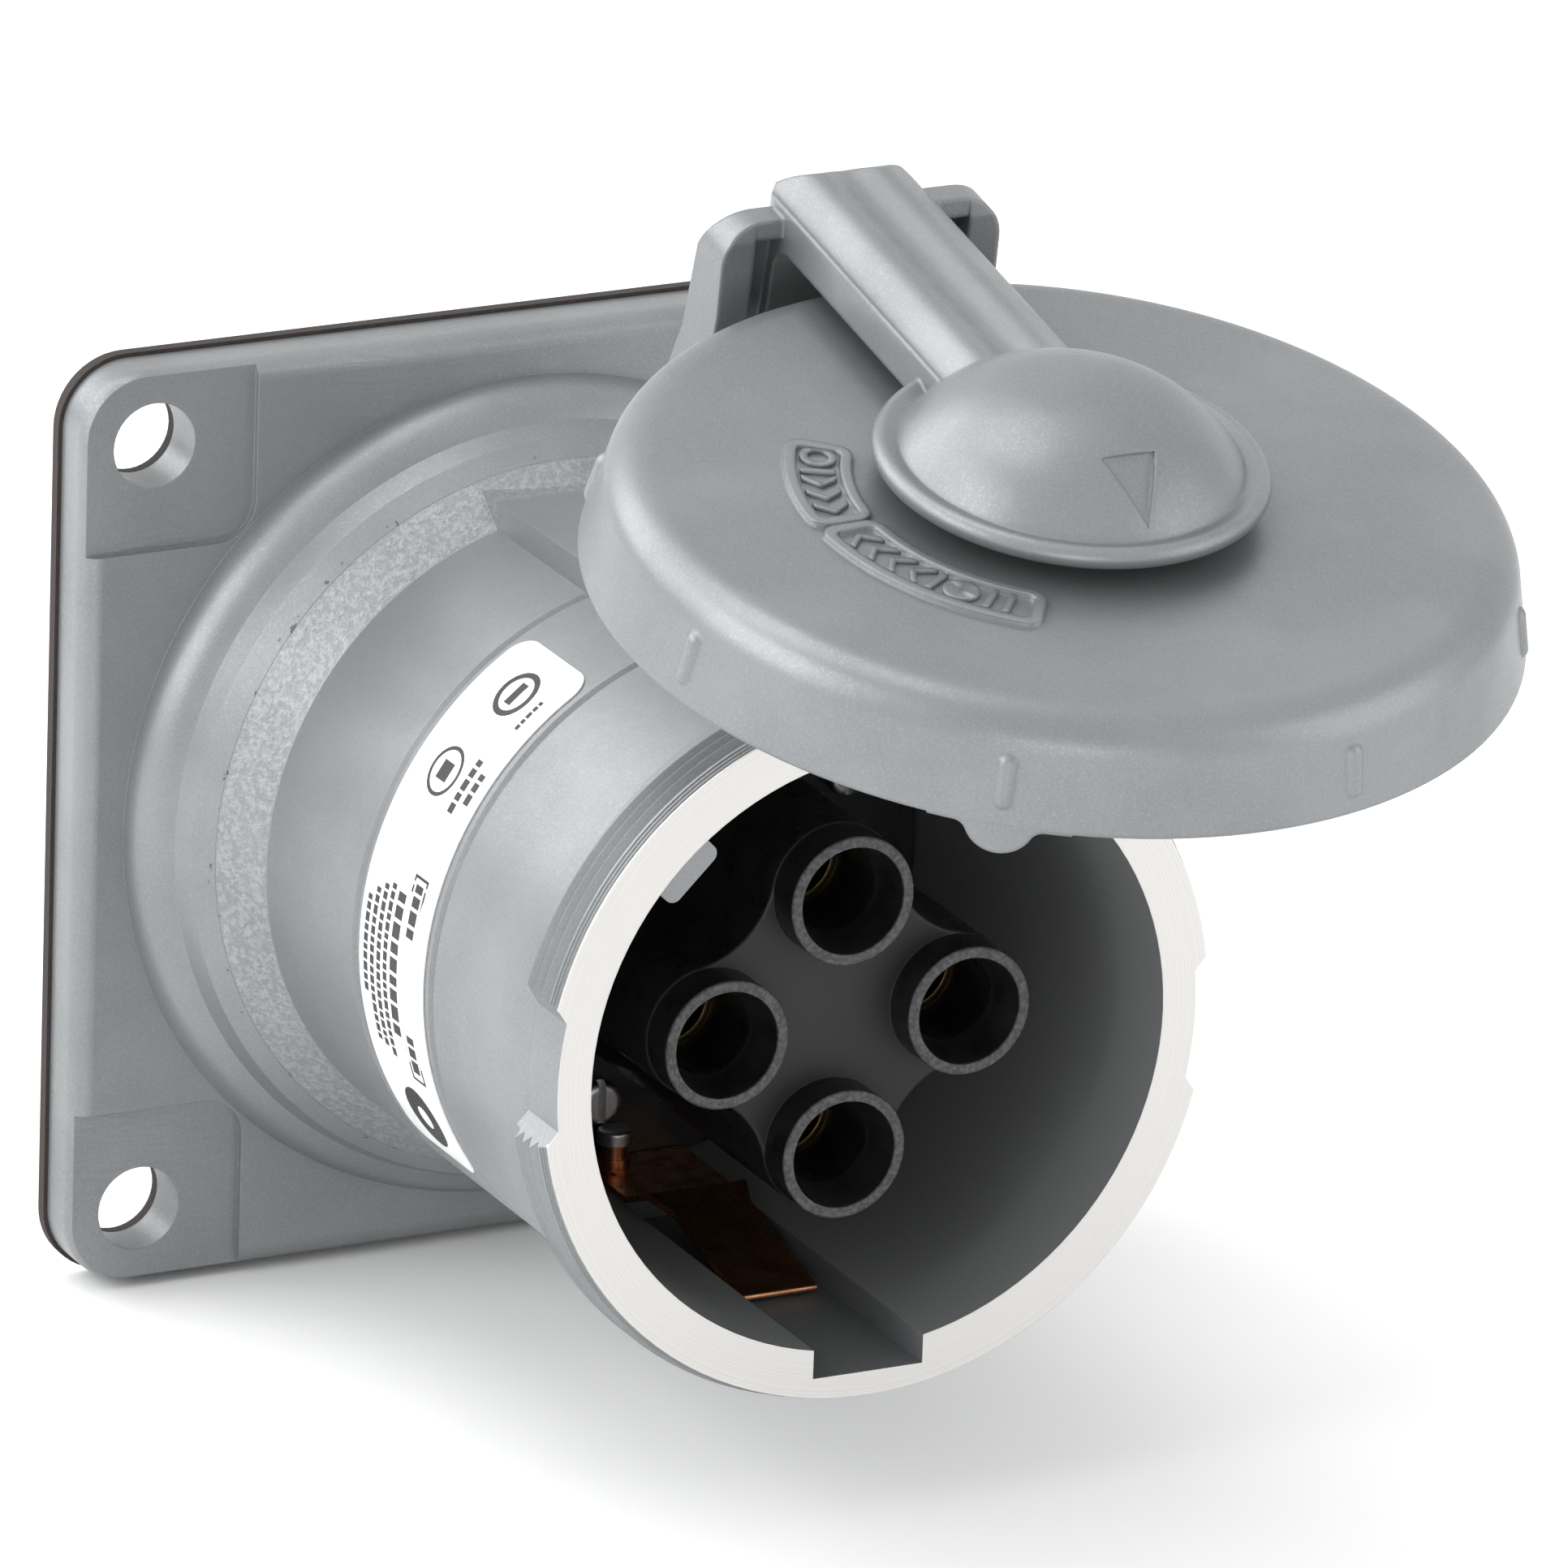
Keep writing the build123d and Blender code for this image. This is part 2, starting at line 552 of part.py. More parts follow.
def arm_block(outline_plane, outline, span, corners=()):
    """An extruded outline with rounded corners, as a solid to join or intersect."""
    with BuildPart() as block:
        with BuildSketch(outline_plane) as shape:
            with BuildLine():
                Polyline(*outline, close=True)
            make_face()
            for index, radius in corners:
                fillet(shape.vertices().sort_by_distance(outline[index])[0], radius)
        extrude(amount=span)
    return block.part


def side_plate(outline, x_low, x_high, corners=()):
    """A plate in the arm's side view, from x_low to x_high."""
    return arm_block(CAP_SIDE.offset(x_low), outline, x_high - x_low, corners)


def eye(x_low, x_high):
    """A hinge eye on the arm."""
    with BuildPart() as boss:
        with BuildSketch(CAP_SIDE.offset(x_low)):
            with Locations(EYE):
                Circle(KNUCKLE_R)
        extrude(amount=x_high - x_low)
    return boss.part


ear_side = [(56.2, EYE[1]), (55.8, -2.0), (53.4, 4.5), (53.0, 8.0), (53.6, 17.0), (54.2, HOOD_TOP),
            (57.4, HOOD_TOP), (59.7, 14.2), (60.8, 3.1), (63.8, -5.9), (68.0, EYE[1])]
hood_side = [(57.4, 3.0), (60.8, 3.0), (59.7, 14.2), (57.4, HOOD_TOP), (54.2, HOOD_TOP),
             (53.8, HOOD_TOP - 2.2), (56.6, HOOD_TOP - 2.6)]
hood_front = [(-ARM_HALF_W, -30), (ARM_HALF_W, -30), (ARM_HALF_W, HOOD_TOP), (-ARM_HALF_W, HOOD_TOP)]

with BuildPart() as hood:
    add(side_plate(hood_side, -ARM_HALF_W, ARM_HALF_W))
    for x in (-ARM_HALF_W, ARM_HALF_W - EAR_T):
        add(side_plate(ear_side, x, x + EAR_T))
    add(arm_block(SECTION.offset(-75), hood_front, 30, [(2, HOOD_CORNER_R), (3, HOOD_CORNER_R)]),
        mode=Mode.INTERSECT)

beam_side = [(0, BEAM_UNDER), (FOOT_FRONT, BEAM_UNDER), (FOOT_FRONT, -1.5), (60.5, -1.5),
             (BEAM_END, 12.0), (BEAM_END - 0.4, BEAM_TOP + 0.5), (0, BEAM_TOP + 0.5)]
beam_plan = [(-BEAM_HALF_W, -5), (BEAM_HALF_W, -5), (BEAM_HALF_W, BEAM_END + 0.2),
             (-BEAM_HALF_W, BEAM_END + 0.2)]

with BuildPart() as beam:
    add(side_plate(beam_side, -BEAM_HALF_W - 1, BEAM_HALF_W + 1, [(1, 3.5), (5, 8.5)]))
    with BuildSketch(SECTION.offset(-70)):
        with BuildLine():
            Polyline((-BEAM_HALF_W, 16.2), (-BEAM_HALF_W, -4), (BEAM_HALF_W, -4), (BEAM_HALF_W, 16.2))
            Spline((BEAM_HALF_W, 16.2), (8.9, 19.4), (6.3, 21.2), (3.6, 22.3), (0, 21.1),
                   (-3.6, 22.3), (-6.3, 21.2), (-8.9, 19.4), (-BEAM_HALF_W, 16.2),
                   tangents=((0, 1), (0, -1)))
        make_face()
    extrude(amount=80, mode=Mode.INTERSECT)
    add(arm_block(CAP.offset(-4), beam_plan, 40, [(2, 8.0), (3, 8.0)]), mode=Mode.INTERSECT)

with BuildPart() as lid_arm:
    add(beam.part)
    add(hood.part)
    add([eye(-ARM_HALF_W, -EYE_IN), eye(EYE_IN, ARM_HALF_W)])
    # dome with its rolled lip
    with BuildSketch(CAP_SIDE):
        with BuildLine():
            Polyline((0, DOME_TOP), (0, THRUST), (9.0, THRUST), (9.0, 15.6), (DOME_R - LIP_R, 15.6))
            ThreePointArc((DOME_R - LIP_R, 15.6), (DOME_R, 15.6 + LIP_R),
                          (DOME_R - LIP_R, 15.6 + 2 * LIP_R))
            Line((DOME_R - LIP_R, 15.6 + 2 * LIP_R), (DOME_EDGE, DOME_FOOT))
            TangentArc((CROWN_R, CROWN_START), (DOME_EDGE, DOME_FOOT),
                       tangent=(cos(2 * CROWN_HALF), -sin(2 * CROWN_HALF)))
            ThreePointArc((CROWN_R, CROWN_START), CROWN_MID, (0, DOME_TOP))
        make_face()
    revolve(axis=CAP_AXIS)
    # pointer sunk into the dome's front
    pointer_plane = Plane(origin=CAP.from_local_coords(Vector(0, -14.5, 22.0)), x_dir=(1, 0, 0),
                          z_dir=CAP.z_dir * cos(radians(38)) - CAP.y_dir * sin(radians(38)))
    with BuildSketch(pointer_plane):
        with BuildLine():
            Polyline((-3.3, 3.6), (3.3, 3.6), (0, -5.2), close=True)
        make_face()
    extrude(amount=6, mode=Mode.SUBTRACT)
    with BuildSketch(CAP_SIDE.offset(-30)):
        with Locations(EYE):
            Circle(HINGE_PIN_R)
    extrude(amount=60, mode=Mode.SUBTRACT)
    with BuildSketch(CAP):
        Circle(STUD_R)
    extrude(amount=STUD_TOP, mode=Mode.SUBTRACT)
finish(lid_arm.part, "lid_arm")

with BuildPart() as hinge_pin:
    with BuildSketch(CAP_SIDE.offset(-ARM_HALF_W - 0.6)):
        with Locations(EYE):
            Circle(HINGE_PIN_R)
    extrude(amount=2 * ARM_HALF_W + 1.2)
    chamfer(hinge_pin.edges().group_by(Axis.X)[0] + hinge_pin.edges().group_by(Axis.X)[-1], 0.5)
finish(hinge_pin.part, "hinge_pin")

# ---- cap ----------------------------------------------------------------------------
TAB_ANGLES = (-122.5, 57.5)
RIB_COUNT = 8
FRAME_ANGLES = (145.0, 182.5, 239.0)
FRAME_R = (24.0, 31.6)
HUB_R = 9.0
HUB_UNDER = 8.0

TAB_R = 4.0
TAB_DROP = 0.8            # the tab's centre lies this far above the skirt's edge
TAB_ROOT = 0.6            # how far the tab is let into the skirt
RIB_R = 1.3
RETAINER_R = 20.0
ROUND_START, ROUND_END = (46.1, CAP_FACE), (51.1, 8.93)   # the cap's rounded shoulder


def sector(r_in, r_out, start, end, corner):
    """A ring sector with rounded corners, as a face in the XY plane."""
    middle = (start + end) / 2
    with BuildSketch() as outline:
        with BuildLine():
            Line(polar(r_in, start), polar(r_out, start))
            ThreePointArc(polar(r_out, start), polar(r_out, middle), polar(r_out, end))
            Line(polar(r_out, end), polar(r_in, end))
            ThreePointArc(polar(r_in, end), polar(r_in, middle), polar(r_in, start))
        make_face()
        fillet(outline.vertices(), corner)
    return outline.sketch


def index_frame(start, end):
    """A raised outline on the cap's face between two angles."""
    rail = 1.3
    turn = degrees(rail / (FRAME_R[0] + 3.8))
    with BuildPart() as frame:
        with BuildSketch(CAP.offset(CAP_FACE - 0.2)):
            add(sector(*FRAME_R, start, end, 2.0))
            add(sector(FRAME_R[0] + rail, FRAME_R[1] - rail, start + turn, end - turn, 0.9),
                mode=Mode.SUBTRACT)
        extrude(amount=0.8)
    return frame.part


def cap_radial(angle, height):
    """A plane on the cap's axis, facing outwards at this angle, with y towards the cap's face."""
    outward = CAP.from_local_coords(Vector(*polar(1, angle), 0)) - CAP.origin
    return Plane(origin=CAP.from_local_coords(Vector(0, 0, height)), x_dir=outward.cross(-CAP.z_dir),
                 z_dir=outward)


def rib(angle):
    """A round-ended rib that lies along the cap's skirt."""
    low, high = (SKIRT_R - 1.0, 1.8), (SKIRT_R - 2.35, 8.2)
    start = CAP.from_local_coords(Vector(*polar(low[0], angle), low[1]))
    end = CAP.from_local_coords(Vector(*polar(high[0], angle), high[1]))
    along = (end - start).normalized()
    with BuildPart() as body:
        with BuildSketch(Plane(origin=start, z_dir=along)):
            Circle(RIB_R)
        extrude(amount=(end - start).length)
        fillet(body.edges().filter_by(GeomType.CIRCLE), RIB_R - 0.1)
    return body.part


def tab(angle):
    """A rounded tab that runs out of the skirt's edge with a small fillet on each side."""
    with BuildPart() as body:
        with BuildSketch(cap_radial(angle, 0).offset(SKIRT_IN_R - 3)) as outline:
            Rectangle(16, TAB_ROOT, align=(Align.CENTER, Align.MIN))
            with Locations((0, TAB_DROP)):
                Circle(TAB_R)
            with Locations((0, TAB_ROOT)):
                Rectangle(20, 10, align=(Align.CENTER, Align.MIN), mode=Mode.SUBTRACT)
            corners = outline.vertices().filter_by(lambda v: abs(v.Y) < 0.05 and abs(v.X) < TAB_R + 0.5)
            fillet(corners, 1.6)
        extrude(amount=SKIRT_R - SKIRT_IN_R + 4)
        with BuildSketch(CAP.offset(-8)):
            Circle(SKIRT_R - 0.05)
            Circle(SKIRT_IN_R - 0.3, mode=Mode.SUBTRACT)
        extrude(amount=12, mode=Mode.INTERSECT)
    return body.part


with BuildPart() as cap:
    with BuildSketch(CAP_SIDE):
        with BuildLine():
            Polyline((STUD_R + 0.1, CAP_FACE), (STUD_R + 0.1, HUB_UNDER), (HUB_R, HUB_UNDER),
                     (HUB_R, CAP_CEILING), (46.6, CAP_CEILING), (48.2, 8.6), (SKIRT_IN_R, 0.0),
                     (SKIRT_R - 0.4, 0.0), (SKIRT_R, 0.4), ROUND_END)
            TangentArc(ROUND_START, ROUND_END, tangent=(1, 0))
            Line(ROUND_START, (STUD_R + 0.1, CAP_FACE))
        make_face()
    revolve(axis=CAP_AXIS)
    for angle in TAB_ANGLES:
        add(tab(angle))
    for index in range(RIB_COUNT):
        add(rib(TAB_ANGLES[0] + 360 / RIB_COUNT * index))
    for start, end in zip(FRAME_ANGLES, FRAME_ANGLES[1:]):
        add(index_frame(start + 0.4, end - 0.4))
    with BuildSketch(CAP.offset(CAP_CEILING)):
        with PolarLocations(RETAINER_R, 3, start_angle=30):
            Circle(1.5)
    extrude(amount=1.7, mode=Mode.SUBTRACT)
finish(cap.part, "cap")

GASKET_SEAT = RIM_Y - PIVOT_Y - PIVOT_TO_SKIRT + 0.06
with BuildPart() as cap_gasket:
    with BuildSketch(CAP.offset(GASKET_SEAT)):
        Circle(45.8)
        Circle(34.6, mode=Mode.SUBTRACT)
    extrude(amount=CAP_CEILING - GASKET_SEAT)
finish(cap_gasket.part, "cap_gasket")

with BuildPart() as gasket_retainer:
    with BuildSketch(CAP.offset(CAP_CEILING - 1.2)):
        Circle(34.5)
        Circle(HUB_R + 1.0, mode=Mode.SUBTRACT)
        with PolarLocations(RETAINER_R, 3, start_angle=30):
            Circle(1.6, mode=Mode.SUBTRACT)
    extrude(amount=1.2)
finish(gasket_retainer.part, "gasket_retainer")

retainer_screws = []
for index in range(3):
    x, y = polar(RETAINER_R, 30 + 120 * index)
    at = CAP.from_local_coords(Vector(x, y, CAP_CEILING - 1.2))
    retainer_screws.append(
        pan_screw(Plane(origin=at, x_dir=(1, 0, 0), z_dir=-CAP.z_dir), 1.5, 2.8, 3.0, 1.5, 0.7))
finish(Compound(retainer_screws), "retainer_screws")

# ---- stud that the cap turns on -----------------------------------------------------
with BuildPart() as cap_stud:
    with BuildSketch(CAP.offset(1.6)):
        Circle(STUD_R)
    extrude(amount=STUD_TOP - 1.6)
    chamfer(cap_stud.faces().sort_by(CAP_AXIS)[0].edges(), 0.4)
finish(cap_stud.part, "cap_stud")

with BuildPart() as stud_washer:
    with BuildSketch(CAP.offset(6.9)):
        Circle(7.4)
        Circle(STUD_R, mode=Mode.SUBTRACT)
    extrude(amount=1.0)
finish(stud_washer.part, "stud_washer")

with BuildPart() as stud_nut:
    with BuildSketch(CAP.offset(2.6)):
        RegularPolygon(5.6, 6)
        Circle(STUD_R, mode=Mode.SUBTRACT)
    extrude(amount=4.3)
finish(stud_nut.part, "stud_nut")
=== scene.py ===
"""Looks for a panel-mount power inlet with a hinged, swivelling cap.

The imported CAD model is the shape.  This script gives it its paint, bare metal, rubber and
moulded plastic, adds the print on the label and the raised marks on the cap, and sets up a
studio with a floor, five soft lights and a camera.  Lengths in the shaders are millimetres.
"""

import json
from math import cos, radians, sin

import bmesh
import bpy
from mathutils import Matrix, Vector


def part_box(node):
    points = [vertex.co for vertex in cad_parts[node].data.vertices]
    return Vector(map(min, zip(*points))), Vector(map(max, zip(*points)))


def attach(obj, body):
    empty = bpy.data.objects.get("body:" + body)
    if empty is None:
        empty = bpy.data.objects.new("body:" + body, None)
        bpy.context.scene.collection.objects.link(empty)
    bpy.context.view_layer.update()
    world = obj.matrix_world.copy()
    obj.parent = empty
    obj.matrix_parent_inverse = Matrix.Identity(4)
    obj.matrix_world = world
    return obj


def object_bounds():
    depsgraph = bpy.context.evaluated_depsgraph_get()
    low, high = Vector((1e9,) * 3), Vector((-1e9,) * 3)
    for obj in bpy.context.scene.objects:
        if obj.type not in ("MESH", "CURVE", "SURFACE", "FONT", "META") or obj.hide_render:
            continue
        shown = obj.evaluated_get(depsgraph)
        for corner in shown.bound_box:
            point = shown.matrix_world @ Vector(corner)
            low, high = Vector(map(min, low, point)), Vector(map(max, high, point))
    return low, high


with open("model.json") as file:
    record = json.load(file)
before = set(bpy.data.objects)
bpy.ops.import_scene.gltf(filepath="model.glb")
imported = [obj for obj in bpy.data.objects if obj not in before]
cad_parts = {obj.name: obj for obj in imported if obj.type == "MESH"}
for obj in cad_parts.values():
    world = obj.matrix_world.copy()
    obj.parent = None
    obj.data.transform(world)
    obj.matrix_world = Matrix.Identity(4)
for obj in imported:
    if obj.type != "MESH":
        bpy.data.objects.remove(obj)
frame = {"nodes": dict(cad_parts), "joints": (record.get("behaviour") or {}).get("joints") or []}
cad_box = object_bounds()
MM = 0.001

# ---- places that the shaders and the added pieces refer to, in millimetres ----------
RIM_DEPTH = -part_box("barrel")[0].y / MM          # the rim's distance in front of the panel
BARREL_R = 40.15
BORE_R = 36.4
CONE = (19.8, 25.2)                               # depths of the rough cone behind the barrel
CONE_START_R = 43.3                               # the dings lie outside about this radius
FLANGE_DEPTH = 8.5
SHOULDER_R = (49.0, 52.0)                         # where the flange's flat face begins
BORE_START = 42.0
TIP_DEPTH = -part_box("insulator_front")[0].y / MM
WEB_DEPTH = 92.6
LABEL_R = 40.35
LABEL_ANGLES = (119.5, 217.0)
LABEL_DEPTHS = (51.4, 68.6)
CAP_FACE = 13.0
RIVET_HEAD_Z = -32.2                              # below it the rivets are copper


# ---- shader helpers -----------------------------------------------------------------
class Shader:
    """A material's node tree, with short calls for the nodes that the finishes share."""

    def __init__(self, name):
        self.material = bpy.data.materials.new(name)
        self.material.use_nodes = True
        self.tree = self.material.node_tree
        self.bsdf = self.tree.nodes["Principled BSDF"]
        coords = self.tree.nodes.new("ShaderNodeTexCoord").outputs["Object"]
        scaled = self.tree.nodes.new("ShaderNodeVectorMath")
        scaled.operation = "SCALE"
        scaled.inputs["Scale"].default_value = 1 / MM
        self.tree.links.new(coords, scaled.inputs[0])
        self.at = scaled.outputs["Vector"]
        self.bump_out = None

    def put(self, socket, value):
        if isinstance(value, bpy.types.NodeSocket):
            self.tree.links.new(value, socket)
        else:
            socket.default_value = value

    def set(self, **values):
        """Sets or links sockets of the Principled shader, as in base_color=..., roughness=..."""
        for key, value in values.items():
            self.put(self.bsdf.inputs[key.replace("_", " ").title().replace("Ior", "IOR")], value)

    def math(self, operation, a, b=0.0, clamp=False):
        node = self.tree.nodes.new("ShaderNodeMath")
        node.operation = operation
        node.use_clamp = clamp
        self.put(node.inputs[0], a)
        self.put(node.inputs[1], b)
        return node.outputs[0]

    def noise(self, scale, detail=2.0, roughness=0.5, at=None):
        node = self.tree.nodes.new("ShaderNodeTexNoise")
        node.inputs["Scale"].default_value = scale
        node.inputs["Detail"].default_value = detail
        node.inputs["Roughness"].default_value = roughness
        self.put(node.inputs["Vector"], self.at if at is None else at)
        return node.outputs["Fac"]

    def cells(self, scale):
        """A random value from 0 to 1 for each small cell."""
        node = self.tree.nodes.new("ShaderNodeTexVoronoi")
        node.inputs["Scale"].default_value = scale
        self.put(node.inputs["Vector"], self.at)
        split = self.tree.nodes.new("ShaderNodeSeparateColor")
        self.put(split.inputs[0], node.outputs["Color"])
        return split.outputs[0]

    def span(self, value, low, high, to_low=0.0, to_high=1.0, smooth=True):
        """Maps value from low..high to to_low..to_high, clamped."""
        node = self.tree.nodes.new("ShaderNodeMapRange")
        node.interpolation_type = "SMOOTHSTEP" if smooth else "LINEAR"
        for socket, number in zip(node.inputs, (value, low, high, to_low, to_high)):
            self.put(socket, number)
        return node.outputs[0]

    def mix(self, share, a, b):
        """A blend of two colours."""
        node = self.tree.nodes.new("ShaderNodeMix")
        node.data_type = "RGBA"
        self.put(node.inputs["Factor"], share)
        for socket, colour in ((node.inputs[6], a), (node.inputs[7], b)):
            self.put(socket, colour if isinstance(colour, bpy.types.NodeSocket) else (*colour, 1.0))
        return node.outputs[2]

    def blend(self, share, a, b):
        """A blend of two numbers."""
        node = self.tree.nodes.new("ShaderNodeMix")
        self.put(node.inputs["Factor"], share)
        self.put(node.inputs[2], a)
        self.put(node.inputs[3], b)
        return node.outputs[0]

    def bump(self, height, depth, strength=1.0):
        """Raises the surface by height (0..1) times depth, in millimetres, on top of earlier bumps."""
        node = self.tree.nodes.new("ShaderNodeBump")
        node.inputs["Distance"].default_value = depth * MM
        self.put(node.inputs["Strength"], strength)
        self.put(node.inputs["Height"], height)
        if self.bump_out is not None:
            self.put(node.inputs["Normal"], self.bump_out)
        self.bump_out = node.outputs[0]
        self.put(self.bsdf.inputs["Normal"], self.bump_out)

    def soft_edges(self, radius):
        """Rounds the shading of sharp edges, as thick paint does."""
        node = self.tree.nodes.new("ShaderNodeBevel")
        node.samples = 6
        node.inputs["Radius"].default_value = radius * MM
        self.bump_out = node.outputs[0]
        self.put(self.bsdf.inputs["Normal"], self.bump_out)

    def cylinder(self):
        """(radius about the barrel's axis, distance in front of the panel), in millimetres."""
        split = self.tree.nodes.new("ShaderNodeSeparateXYZ")
        self.put(split.inputs[0], self.at)
        x, y, z = split.outputs
        squares = self.math("ADD", self.math("MULTIPLY", x, x), self.math("MULTIPLY", z, z))
        return self.math("SQRT", squares), self.math("MULTIPLY", y, -1.0)

    def both(self, a, b):
        return self.math("MULTIPLY", a, b)


# ---- finishes -----------------------------------------------------------------------
PAINT_LIGHT = (0.245, 0.255, 0.262)
PAINT_DARK = (0.215, 0.225, 0.232)
FLAKE_COLOUR = (0.46, 0.47, 0.475)
# painted shade: the housing's paint made a little darker, for the shade inside the bore
BORE_SHADE_COLOUR = (0.20, 0.205, 0.208)
BARE_METAL = (0.62, 0.61, 0.595)
BRIGHT_METAL = (0.72, 0.71, 0.69)


def paint_base(name, edge):
    """Satin silver-grey paint with fine flakes: the finish that all the castings share."""
    s = Shader(name)
    s.soft_edges(edge)
    cloud = s.noise(0.05, 3.0)
    flake = s.span(s.cells(7.0), 0.80, 0.98)
    fine = s.span(s.noise(3.2, 1.0), 0.35, 0.65)
    colour = s.mix(s.span(cloud, 0.35, 0.65), PAINT_DARK, PAINT_LIGHT)
    colour = s.mix(s.math("MULTIPLY", fine, 0.06), colour, FLAKE_COLOUR)
    colour = s.mix(s.math("MULTIPLY", flake, 0.16), colour, FLAKE_COLOUR)
    roughness = s.blend(flake, s.span(cloud, 0.3, 0.7, 0.42, 0.36), 0.28)
    s.bump(s.noise(0.5, 2.0), 0.05, 0.6)
    s.bump(s.noise(2.6, 2.0), 0.012, 0.8)
    return s, colour, roughness


def painted_arm():
    s, colour, roughness = paint_base("arm_paint", 0.7)
    s.set(base_color=colour, roughness=roughness, metallic=0.6)
    return s.material


def housing_paint():
    """The paint of the housing, with its rough cone, its bore painted a little darker as painted shade,
    and its machined rim.
    """
    s, colour, roughness = paint_base("housing_paint", 0.15)
    radius, depth = s.cylinder()
    # sand-like casting texture on the cone, and flow lines on the flange
    on_cone = s.both(s.span(depth, CONE[0] - 0.1, CONE[0] + 0.4),
                     s.span(depth, CONE[1] + 0.2, CONE[1] - 0.3))
    on_cone = s.both(on_cone, s.span(radius, BARREL_R - 0.2, BARREL_R + 0.2))
    grit = s.noise(1.3, 5.0, 0.7)
    s.bump(grit, 0.12, on_cone)
    colour = s.mix(s.both(on_cone, s.span(grit, 0.42, 0.62, 0.0, 0.4)), colour, FLAKE_COLOUR)
    on_flange = s.both(s.span(depth, FLANGE_DEPTH + 0.2, FLANGE_DEPTH - 0.3), s.span(radius, *SHOULDER_R))
    patches = s.span(s.noise(0.035, 2.0), 0.48, 0.62)
    stretched = s.tree.nodes.new("ShaderNodeMapping")
    stretched.inputs["Scale"].default_value = (0.22, 1.0, 1.6)
    s.put(stretched.inputs["Vector"], s.at)
    flow = s.noise(0.9, 4.0, 0.6, at=stretched.outputs[0])
    s.bump(flow, 0.16, s.both(on_flange, patches))
    # small dings where the cone meets the shoulder
    ding = s.both(s.span(depth, CONE[0] - 0.9, CONE[0] - 0.5), s.span(depth, CONE[0] + 0.4, CONE[0]))
    ding = s.both(ding, s.span(radius, CONE_START_R - 0.3, CONE_START_R + 0.3))
    ding = s.both(ding, s.span(s.noise(0.9, 2.0), 0.66, 0.70))
    colour = s.mix(ding, colour, (0.10, 0.10, 0.10))
    # painted shade: the same paint made a little darker inside the bore, standing in for the shade in the
    # deep bore
    in_bore = s.both(s.span(radius, BORE_R + 0.25, BORE_R + 0.1),
                     s.span(depth, BORE_START - 2, BORE_START))
    in_bore = s.both(in_bore, s.span(radius, BORE_R - 0.4, BORE_R - 0.2))
    colour = s.mix(in_bore, colour, BORE_SHADE_COLOUR)
    # bare machined rim with concentric tool lines
    face = s.span(depth, RIM_DEPTH - 0.08, RIM_DEPTH - 0.04)
    side = s.both(s.span(depth, RIM_DEPTH - 0.45, RIM_DEPTH - 0.35), s.span(radius, 41.8, 41.95))
    bare = s.math("MAXIMUM", face, side)
    rings = s.tree.nodes.new("ShaderNodeCombineXYZ")
    s.put(rings.inputs[0], radius)
    lines = s.noise(5.0, 3.0, 0.7, at=rings.outputs[0])
    s.bump(lines, 0.012, bare)
    metal = s.mix(s.span(lines, 0.3, 0.7), BARE_METAL, BRIGHT_METAL)
    colour = s.mix(bare, colour, metal)
    roughness = s.blend(bare, roughness, s.span(lines, 0.3, 0.7, 0.34, 0.46))
    s.set(base_color=colour, roughness=roughness,
          metallic=s.blend(bare, s.blend(in_bore, 0.5, 0.15), 0.85))
    return s.material


def phenolic():
    """Black moulded plastic, greyer on the web's face and scuffed on the sleeve tips, whose flat front
    rings are painted lighter as a painted highlight.
    """
    s = Shader("black_phenolic")
    s.soft_edges(0.25)
    radius, depth = s.cylinder()
    haze = s.noise(0.25, 3.0)
    tip = s.span(depth, TIP_DEPTH - 0.35, TIP_DEPTH - 0.1)
    web = s.both(s.span(depth, WEB_DEPTH - 0.3, WEB_DEPTH - 0.1),
                 s.span(depth, WEB_DEPTH + 0.3, WEB_DEPTH + 0.1))
    scuff = s.both(tip, s.span(s.noise(1.6, 4.0, 0.7), 0.40, 0.62))
    colour = s.mix(s.span(haze, 0.3, 0.7), (0.006, 0.006, 0.0065), (0.010, 0.010, 0.0105))
    colour = s.mix(web, colour, (0.010, 0.010, 0.011))
    # painted highlight: the sleeve tips' flat front rings are lighter, for the light they catch; the
    # scuffs on them are real wear
    colour = s.mix(tip, colour, (0.030, 0.030, 0.032))
    colour = s.mix(scuff, colour, (0.075, 0.075, 0.078))
    roughness = s.blend(s.math("MAXIMUM", web, tip), s.span(haze, 0.3, 0.7, 0.26, 0.36), 0.52)
    s.bump(s.noise(1.2, 3.0), 0.02, 0.5)
    s.bump(s.noise(3.5, 3.0, 0.7), 0.05, s.both(tip, 0.8))
    s.set(base_color=colour, roughness=roughness, specular_ior_level=0.45)
    return s.material


def metal(name, dark, light, rough=(0.28, 0.42), stain=None):
    """Bare metal with faint draw lines, a cloudy surface and, on copper, dark stains."""
    s = Shader(name)
    s.soft_edges(0.15)
    cloud = s.noise(0.35, 4.0, 0.6)
    colour = s.mix(s.span(cloud, 0.3, 0.7), dark, light)
    roughness = s.span(cloud, 0.3, 0.7, rough[1], rough[0])
    if stain:
        blot = s.span(s.noise(0.28, 5.0, 0.6), 0.60, 0.72)
        colour = s.mix(blot, colour, stain)
        roughness = s.blend(blot, roughness, 0.6)
    s.bump(s.noise(4.0, 3.0, 0.6), 0.008, 0.8)
    s.set(base_color=colour, roughness=roughness, metallic=1.0)
    return s.material


